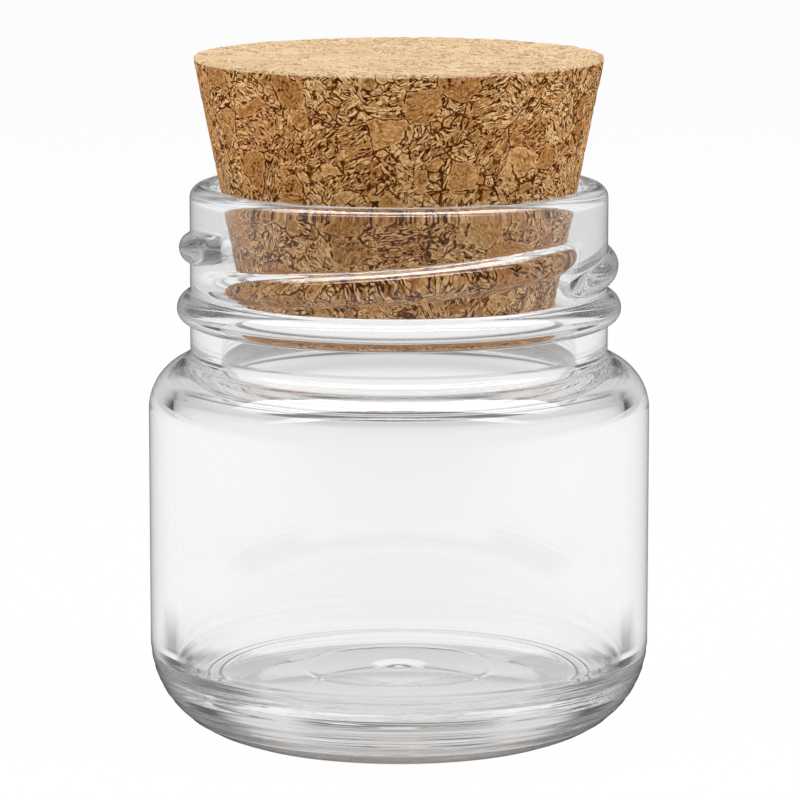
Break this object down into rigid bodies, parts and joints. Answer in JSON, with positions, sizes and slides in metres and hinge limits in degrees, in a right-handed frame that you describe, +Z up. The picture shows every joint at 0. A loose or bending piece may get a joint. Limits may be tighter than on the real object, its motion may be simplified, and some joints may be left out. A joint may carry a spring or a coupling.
{
  "type": "glass jar with cork stopper",
  "caption": "Small round clear-glass storage jar with a rounded heel and shoulder, a beaded twist-off neck, and a tapered cork stopper that pulls out of its mouth.",
  "frame": {"origin": "middle of the jar's base, on the plane that it stands on", "axes": "+Z up along the jar's axis; -Y towards the viewer of the picture, +X to the viewer's right"},
  "size_m": [0.06, 0.06, 0.0814],
  "materials": {
    "clear_glass": "gloss",
    "cork": "matte"
  },
  "bodies": {
    "jar": {"glass_jar": "clear_glass"},
    "stopper": {"cork_stopper": "cork"}
  },
  "joints": [
    {"name": "stopper_pull", "type": "slide", "parent": "jar", "child": "stopper", "axis": [0, 0, 1], "range_m": [0, 0.04]}
  ]
}
